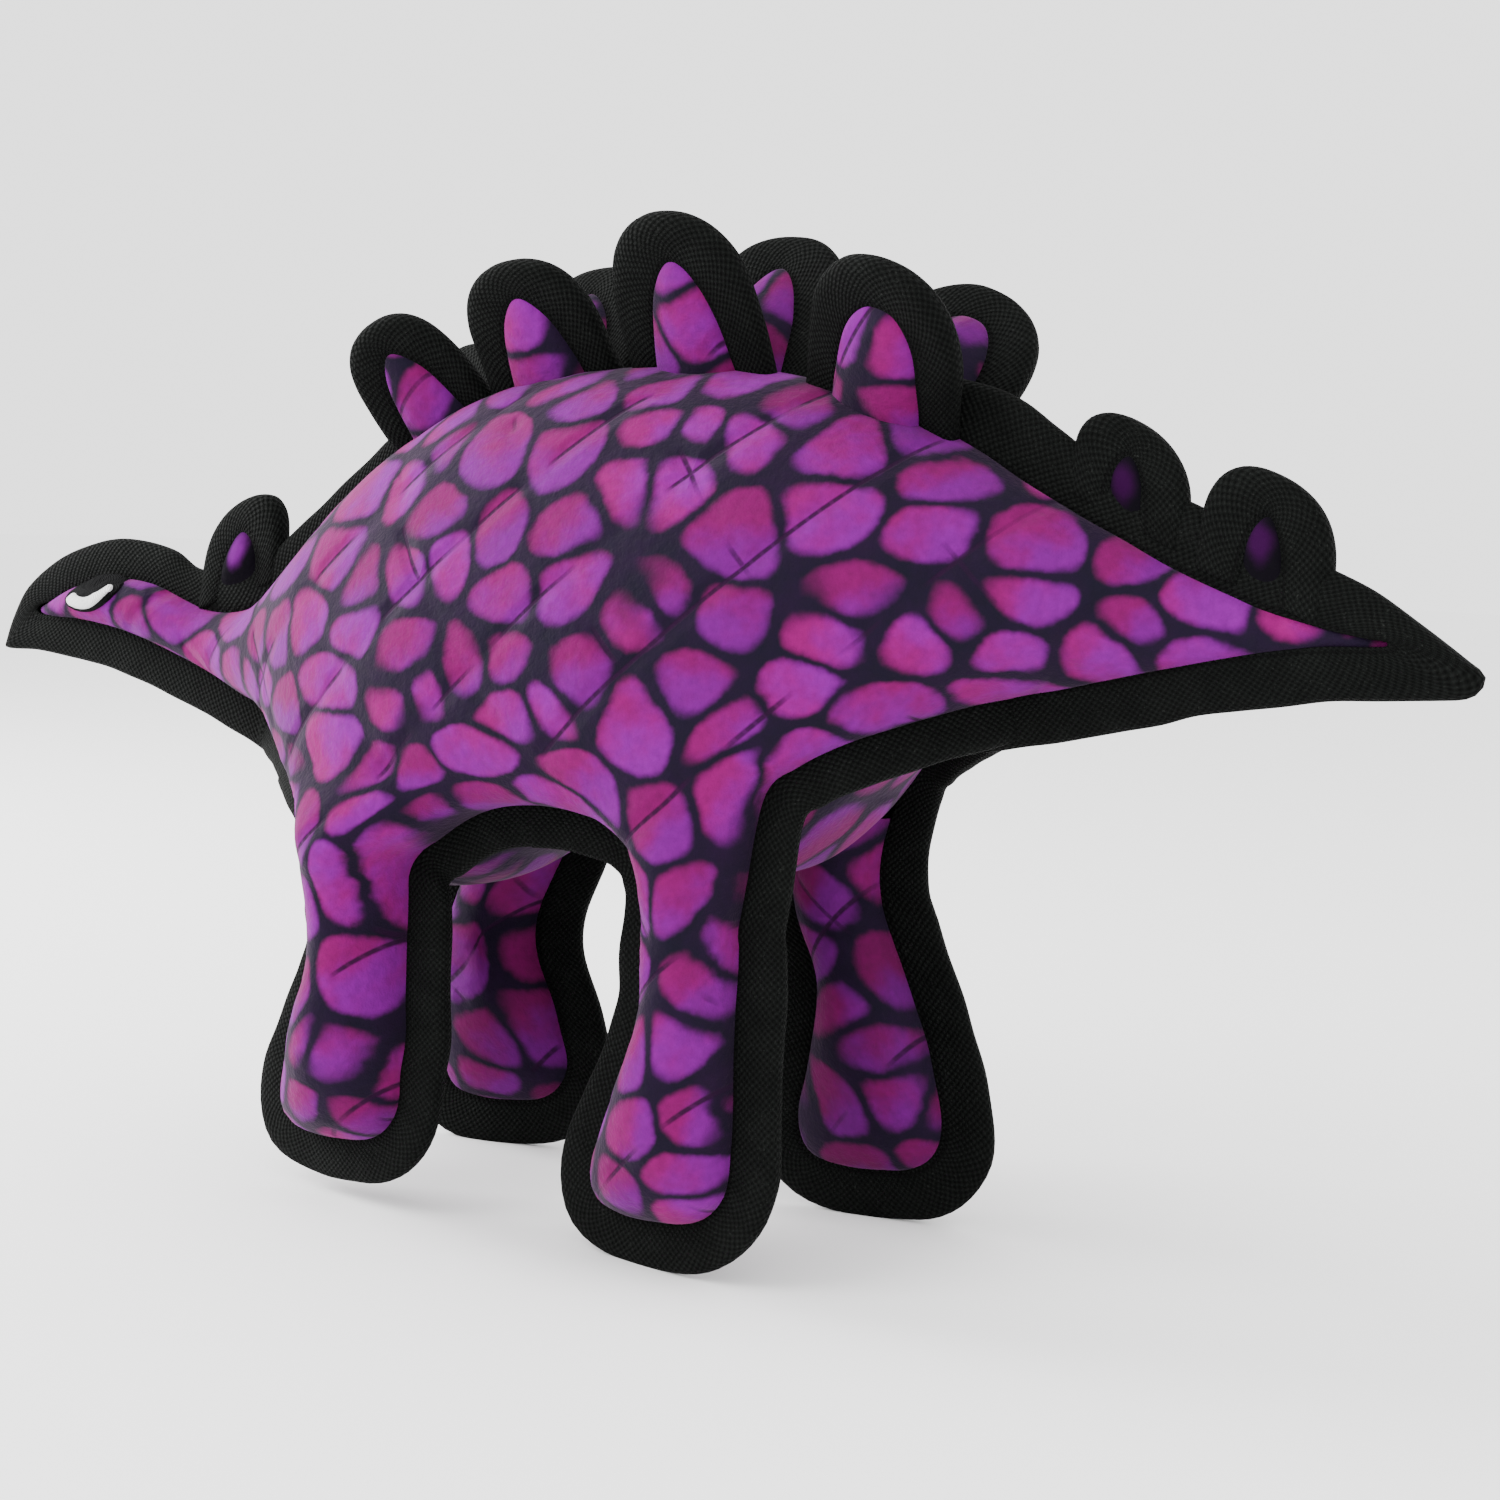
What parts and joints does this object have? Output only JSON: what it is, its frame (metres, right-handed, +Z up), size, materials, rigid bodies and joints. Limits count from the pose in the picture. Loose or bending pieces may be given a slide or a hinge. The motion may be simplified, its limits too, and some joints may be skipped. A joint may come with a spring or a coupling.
{
  "type": "stuffed dinosaur",
  "caption": "Stuffed stegosaurus toy in quilted purple fleece, with black webbing over its seams and plates along its back, standing on its feet.",
  "frame": {"origin": "middle of the toy's footprint on the floor", "axes": "-X towards the nose, +X towards the tail tip, +Z up, -Y towards the toy's left side"},
  "size_m": [0.506, 0.145, 0.2929],
  "materials": {
    "fleece": "short printed pile over quilted canvas",
    "webbing": "coarse matt weave",
    "stuffing": "loose polyester fibre",
    "eye_thread": "satin stitched thread",
    "bulb": "thin blown plastic",
    "reed": "moulded"
  },
  "bodies": {
    "torso": {"back_plate_binding_left_1": "webbing", "back_plate_binding_left_2": "webbing", "back_plate_binding_left_3": "webbing", "back_plate_binding_left_4": "webbing", "back_plate_binding_right_1": "webbing", "back_plate_binding_right_2": "webbing", "back_plate_binding_right_3": "webbing", "back_plate_binding_right_4": "webbing", "back_plate_left_1": "fleece", "back_plate_left_2": "fleece", "back_plate_left_3": "fleece", "back_plate_left_4": "fleece", "back_plate_right_1": "fleece", "back_plate_right_2": "fleece", "back_plate_right_3": "fleece", "back_plate_right_4": "fleece", "belly_binding_left": "webbing", "belly_binding_right": "webbing", "belly_gusset": "fleece", "chest_binding_left": "webbing", "chest_binding_right": "webbing", "nape_binding": "webbing", "rump_binding_left": "webbing", "rump_binding_right": "webbing", "squeaker_bulb": "bulb", "squeaker_reed": "reed", "torso_cover_left": "fleece", "torso_cover_right": "fleece", "torso_stuffing": "stuffing"},
    "head": {"eye_left": "eye_thread", "eye_right": "eye_thread", "head_binding": "webbing", "head_cover_left": "fleece", "head_cover_right": "fleece", "head_stuffing": "stuffing", "neck_plate": "webbing"},
    "leg_front_left": {"leg_front_left_binding": "webbing", "leg_front_left_inner_cover": "fleece", "leg_front_left_outer_cover": "fleece", "leg_front_left_stuffing": "stuffing"},
    "leg_front_right": {"leg_front_right_binding": "webbing", "leg_front_right_inner_cover": "fleece", "leg_front_right_outer_cover": "fleece", "leg_front_right_stuffing": "stuffing"},
    "leg_hind_left": {"leg_hind_left_binding": "webbing", "leg_hind_left_inner_cover": "fleece", "leg_hind_left_outer_cover": "fleece", "leg_hind_left_stuffing": "stuffing"},
    "leg_hind_right": {"leg_hind_right_binding": "webbing", "leg_hind_right_inner_cover": "fleece", "leg_hind_right_outer_cover": "fleece", "leg_hind_right_stuffing": "stuffing"},
    "tail": {"tail_binding": "webbing", "tail_cover_left": "fleece", "tail_cover_right": "fleece", "tail_plate_1": "webbing", "tail_plate_2": "webbing", "tail_stuffing": "stuffing"}
  },
  "joints": [
    {"name": "front_left_hip", "type": "hinge", "parent": "torso", "child": "leg_front_left", "pos_m": [-0.051, -0.044, 0.098], "axis": [0, 1, 0], "range_deg": [-15, 15], "stiffness_Nm_per_rad": 1},
    {"name": "front_right_hip", "type": "hinge", "parent": "torso", "child": "leg_front_right", "pos_m": [-0.051, 0.044, 0.098], "axis": [0, 1, 0], "range_deg": [-15, 15], "stiffness_Nm_per_rad": 1},
    {"name": "hind_left_hip", "type": "hinge", "parent": "torso", "child": "leg_hind_left", "pos_m": [0.062, -0.044, 0.104], "axis": [0, 1, 0], "range_deg": [-15, 15], "stiffness_Nm_per_rad": 1},
    {"name": "hind_right_hip", "type": "hinge", "parent": "torso", "child": "leg_hind_right", "pos_m": [0.062, 0.044, 0.104], "axis": [0, 1, 0], "range_deg": [-15, 15], "stiffness_Nm_per_rad": 1},
    {"name": "neck_bend", "type": "hinge", "parent": "torso", "child": "head", "pos_m": [-0.126, 0, 0.16], "axis": [0, 0, 1], "range_deg": [-22, 22], "stiffness_Nm_per_rad": 0.6},
    {"name": "tail_bend", "type": "hinge", "parent": "torso", "child": "tail", "pos_m": [0.14, 0, 0.19], "axis": [0, 0, 1], "range_deg": [-20, 20], "stiffness_Nm_per_rad": 0.6}
  ]
}
